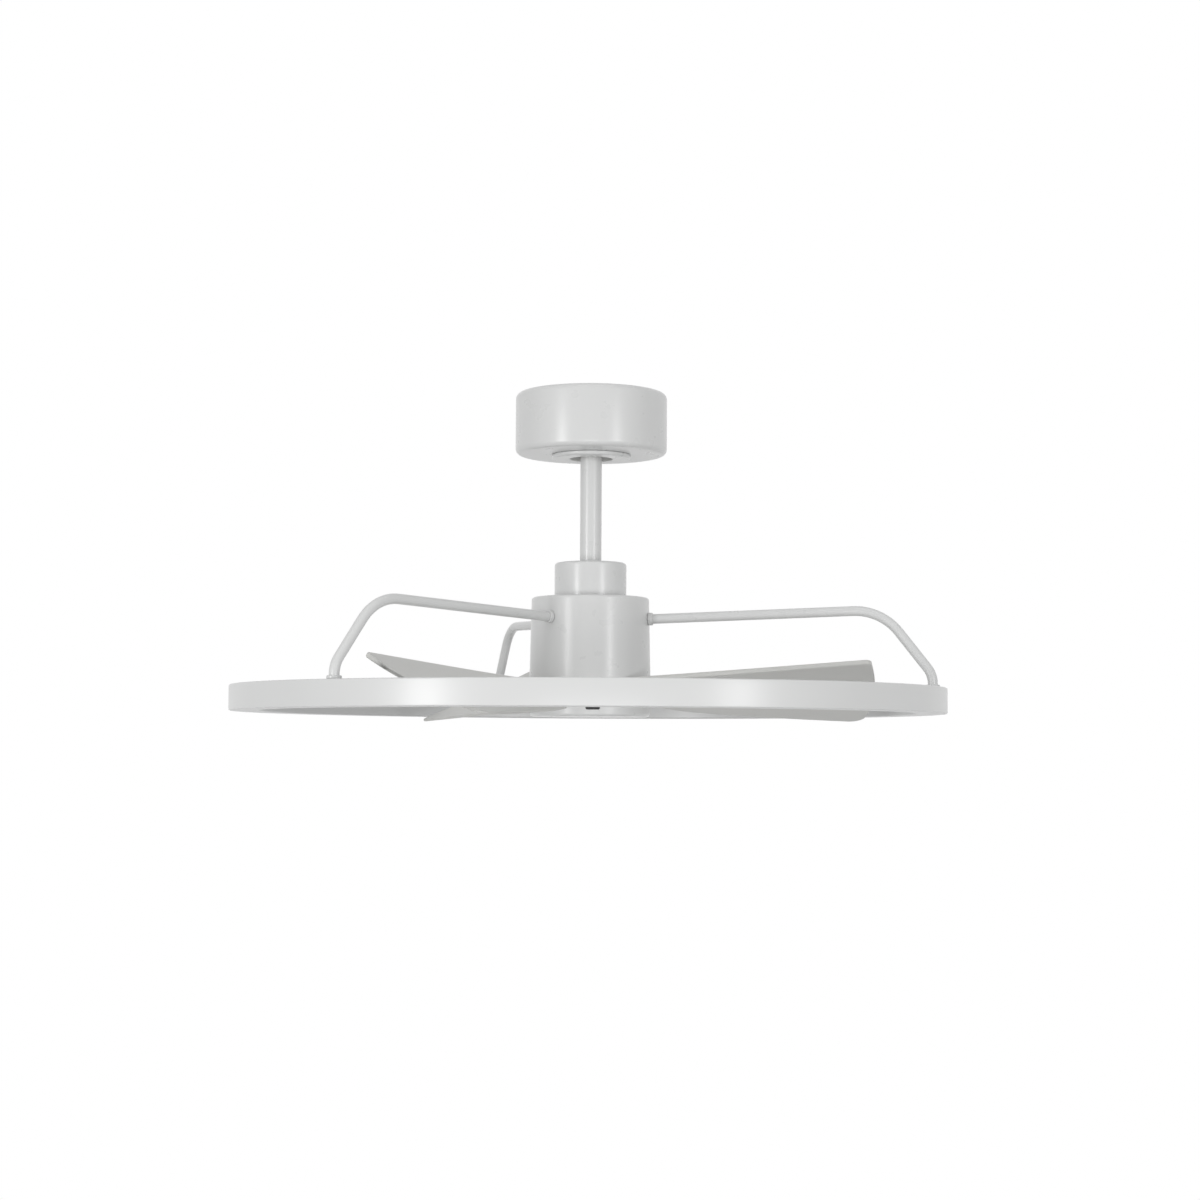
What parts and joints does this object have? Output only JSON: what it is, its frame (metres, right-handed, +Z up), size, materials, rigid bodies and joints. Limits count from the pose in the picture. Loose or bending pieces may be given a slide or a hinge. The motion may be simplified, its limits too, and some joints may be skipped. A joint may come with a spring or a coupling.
{
  "type": "ceiling fan",
  "caption": "Ceiling fan on a short rod; pitched blades turn inside a still, softly lobed ring carried by slender bent bars from the motor housing.",
  "frame": {"origin": "middle of the bracket's face that meets the ceiling", "axes": "+Z up into the ceiling, -Y towards the side with the receiver window, +X to the right seen from that side"},
  "size_m": [0.7831, 0.7819, 0.3642],
  "materials": {
    "white_paint": "satin white paint",
    "ring_plastic": "satin white",
    "blade_plastic": "satin, slightly warm white",
    "zinc_steel": "zinc plated",
    "steel": "bright, turned",
    "copper": "enamelled copper wire",
    "ferrite": "dull, sintered",
    "nylon": "moulded, natural colour",
    "black_rubber": "matte black",
    "dark_window": "smooth, smoked",
    "circuit_board": "green lacquer"
  },
  "bodies": {
    "mount": {"mounting_bracket": "zinc_steel", "canopy": "white_paint", "canopy_trim_ring": "white_paint", "canopy_screw_1": "zinc_steel", "canopy_screw_2": "zinc_steel", "receiver_module": "nylon", "terminal_block": "nylon"},
    "seat_liner": {"ball_seat_liner": "nylon"},
    "suspension": {"hanger_ball": "nylon", "hanger_pin": "steel", "downrod": "white_paint", "motor_lead": "black_rubber", "lead_grommet": "black_rubber", "motor_yoke": "zinc_steel", "coupling_pin": "steel", "yoke_set_screw_1": "steel", "yoke_set_screw_2": "steel", "coupling_cover": "white_paint", "ring_arm_1": "white_paint", "ring_arm_2": "white_paint", "ring_arm_3": "white_paint", "arm_collar_1": "white_paint", "arm_collar_2": "white_paint", "arm_collar_3": "white_paint", "foot_collar_1": "white_paint", "foot_collar_2": "white_paint", "foot_collar_3": "white_paint", "ring_screw_1": "zinc_steel", "ring_screw_2": "zinc_steel", "ring_screw_3": "zinc_steel", "orbit_ring": "ring_plastic", "motor_housing": "white_paint", "arm_carrier": "zinc_steel", "motor_shaft": "steel", "stator_core": "steel", "stator_winding": "copper", "lower_plate": "zinc_steel", "shaft_nut": "zinc_steel", "lower_cap": "white_paint", "cap_screw_1": "zinc_steel", "cap_screw_2": "zinc_steel", "cap_screw_3": "zinc_steel", "receiver_window": "dark_window", "receiver_board": "circuit_board"},
    "rotor": {"rotor_cup": "steel", "magnet_ring": "ferrite", "upper_bearing": "steel", "lower_bearing": "steel", "blade_hub": "white_paint", "blade_1": "blade_plastic", "blade_2": "blade_plastic", "blade_3": "blade_plastic", "blade_screw_1": "zinc_steel", "blade_screw_2": "zinc_steel", "blade_screw_3": "zinc_steel", "blade_screw_4": "zinc_steel", "blade_screw_5": "zinc_steel", "blade_screw_6": "zinc_steel"}
  },
  "joints": [
    {"name": "ball_tilt_x", "type": "hinge", "parent": "mount", "child": "seat_liner", "pos_m": [0, 0, -0.0449], "axis": [1, 0, 0], "range_deg": [-12, 12]},
    {"name": "ball_tilt_y", "type": "hinge", "parent": "seat_liner", "child": "suspension", "pos_m": [0, 0, -0.0449], "axis": [0, 1, 0], "range_deg": [-12, 12]},
    {"name": "blade_spin", "type": "hinge", "parent": "suspension", "child": "rotor", "pos_m": [0, 0, -0.3256], "axis": [0, 0, 1], "continuous": true}
  ]
}
